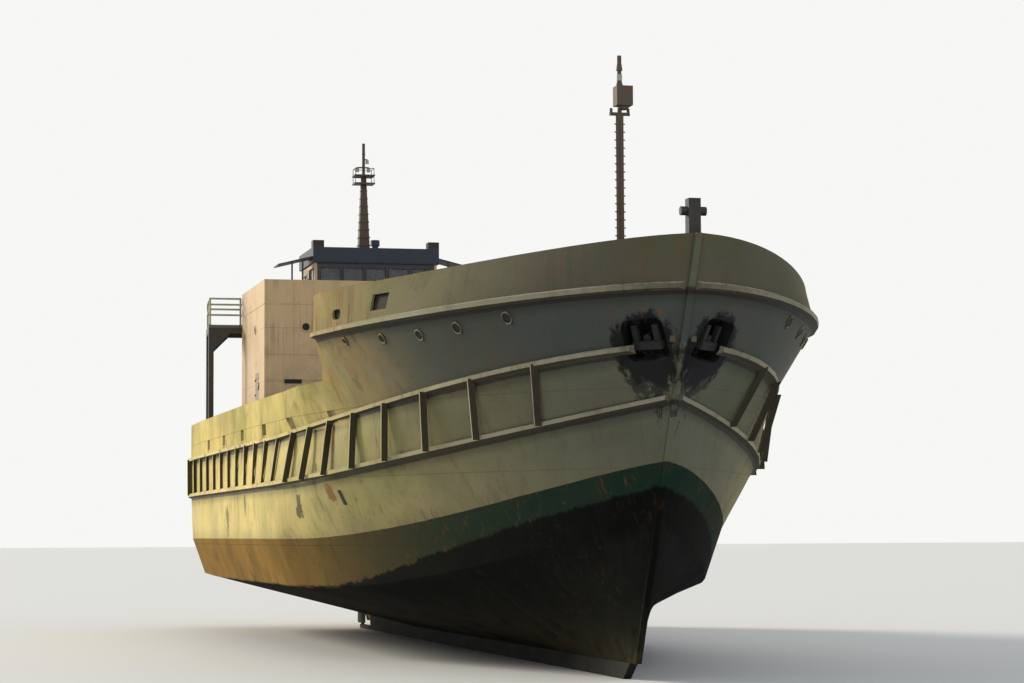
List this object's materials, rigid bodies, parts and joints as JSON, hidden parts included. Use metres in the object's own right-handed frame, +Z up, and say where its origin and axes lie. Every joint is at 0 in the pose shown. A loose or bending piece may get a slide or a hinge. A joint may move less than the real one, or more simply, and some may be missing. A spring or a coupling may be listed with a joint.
{
  "type": "coastal work ship",
  "caption": "Steel coastal work ship with a raked, flared bow, raised forecastle, covered hold in a well deck, fendered sides and a deckhouse with a small wheelhouse aft.",
  "frame": {"origin": "amidships on the centreline, at the level of the loaded waterline", "axes": "+X towards the bow, +Y to port, +Z up"},
  "size_m": [36.2846, 10.54, 14.46],
  "materials": {
    "hull_paint": "weathered cream paint",
    "strake_paint": "weathered cream paint",
    "bottom_paint": "matt dark antifouling",
    "house_paint": "weathered pinkish cream paint",
    "door_paint": "weathered paint",
    "deck_paint": "worn matt deck paint",
    "cover_paint": "worn matt paint",
    "roof_paint": "dark blue paint",
    "rail_paint": "weathered pale olive paint",
    "mast_paint": "rusty brown paint",
    "dark_paint": "dark paint",
    "black_iron": "matt black",
    "propeller_bronze": "dull",
    "shaft_steel": "dull",
    "window_glass": "clear"
  },
  "bodies": {
    "ship": {"anchor_port": "black_iron", "anchor_starboard": "black_iron", "awnings": "house_paint", "bitts_aft": "black_iron", "bitts_forward": "black_iron", "bridge_deck": "deck_paint", "bridge_rails": "rail_paint", "casing_back": "house_paint", "casing_wall_port": "house_paint", "casing_wall_starboard": "house_paint", "forecastle_bulwark_port": "hull_paint", "forecastle_bulwark_starboard": "hull_paint", "foremast": "mast_paint", "hatch_coaming": "deck_paint", "house_back": "house_paint", "house_front": "house_paint", "house_wall_port": "house_paint", "house_wall_starboard": "house_paint", "hull": "hull_paint", "keel": "bottom_paint", "knuckle_moulding_port": "strake_paint", "knuckle_moulding_starboard": "strake_paint", "ladders": "rail_paint", "mainmast": "mast_paint", "samson_post": "black_iron", "sidelight_boxes": "dark_paint", "sole_piece": "bottom_paint", "stem_bar": "hull_paint", "stern_bulwark": "hull_paint", "store_bulkhead": "hull_paint", "strakes_port": "strake_paint", "strakes_starboard": "strake_paint", "well_bulwark_port": "hull_paint", "well_bulwark_starboard": "hull_paint", "wheelhouse_back": "house_paint", "wheelhouse_front": "house_paint", "wheelhouse_glass_back": "window_glass", "wheelhouse_glass_front": "window_glass", "wheelhouse_glass_port": "window_glass", "wheelhouse_glass_starboard": "window_glass", "wheelhouse_roof": "roof_paint", "wheelhouse_wall_port": "house_paint", "wheelhouse_wall_starboard": "house_paint", "windlass": "black_iron", "wing_frames_port": "dark_paint", "wing_frames_starboard": "dark_paint"},
    "screw": {"propeller": "propeller_bronze", "propeller_shaft": "shaft_steel"},
    "rudder_body": {"rudder": "bottom_paint"},
    "house_door_port": {"house_door_port": "door_paint"},
    "house_door_starboard": {"house_door_starboard": "door_paint"},
    "casing_door": {"casing_door": "door_paint"},
    "wheelhouse_door_port": {"wheelhouse_door_port": "door_paint", "wheelhouse_door_glass_port": "window_glass"},
    "wheelhouse_door_starboard": {"wheelhouse_door_starboard": "door_paint", "wheelhouse_door_glass_starboard": "window_glass"},
    "store_door": {"store_door": "door_paint"},
    "hatch_cover_port": {"hatch_cover_port": "cover_paint"},
    "hatch_cover_starboard": {"hatch_cover_starboard": "cover_paint"}
  },
  "joints": [
    {"name": "propeller_turn", "type": "hinge", "parent": "ship", "child": "screw", "pos_m": [-14.35, 0, -1.62], "axis": [1, 0, 0], "continuous": true},
    {"name": "rudder_turn", "type": "hinge", "parent": "ship", "child": "rudder_body", "pos_m": [-15.5, 0, -1.6], "axis": [0, 0, 1], "range_deg": [-35, 35]},
    {"name": "house_door_port_swing", "type": "hinge", "parent": "ship", "child": "house_door_port", "pos_m": [-7.8, 4.168, 3.65], "axis": [0, 0, -1], "range_deg": [0, 100]},
    {"name": "house_door_starboard_swing", "type": "hinge", "parent": "ship", "child": "house_door_starboard", "pos_m": [-7.8, -4.168, 3.65], "axis": [0, 0, 1], "range_deg": [0, 100]},
    {"name": "wheelhouse_door_port_swing", "type": "hinge", "parent": "ship", "child": "wheelhouse_door_port", "pos_m": [-14.5, 1.818, 7.13], "axis": [0, 0, -1], "range_deg": [0, 100]},
    {"name": "wheelhouse_door_starboard_swing", "type": "hinge", "parent": "ship", "child": "wheelhouse_door_starboard", "pos_m": [-14.5, -1.818, 7.13], "axis": [0, 0, 1], "range_deg": [0, 100]},
    {"name": "casing_door_swing", "type": "hinge", "parent": "ship", "child": "casing_door", "pos_m": [-15.918, 0.35, 3.65], "axis": [0, 0, -1], "range_deg": [0, 100]},
    {"name": "store_door_swing", "type": "hinge", "parent": "ship", "child": "store_door", "pos_m": [8.132, -1.15, 3.425], "axis": [0, 0, -1], "range_deg": [0, 100]},
    {"name": "hatch_cover_port_lift", "type": "hinge", "parent": "ship", "child": "hatch_cover_port", "pos_m": [1, 2.542, 3.313], "axis": [-1, 0, 0], "range_deg": [0, 100]},
    {"name": "hatch_cover_starboard_lift", "type": "hinge", "parent": "ship", "child": "hatch_cover_starboard", "pos_m": [1, -2.542, 3.313], "axis": [1, 0, 0], "range_deg": [0, 100]}
  ]
}
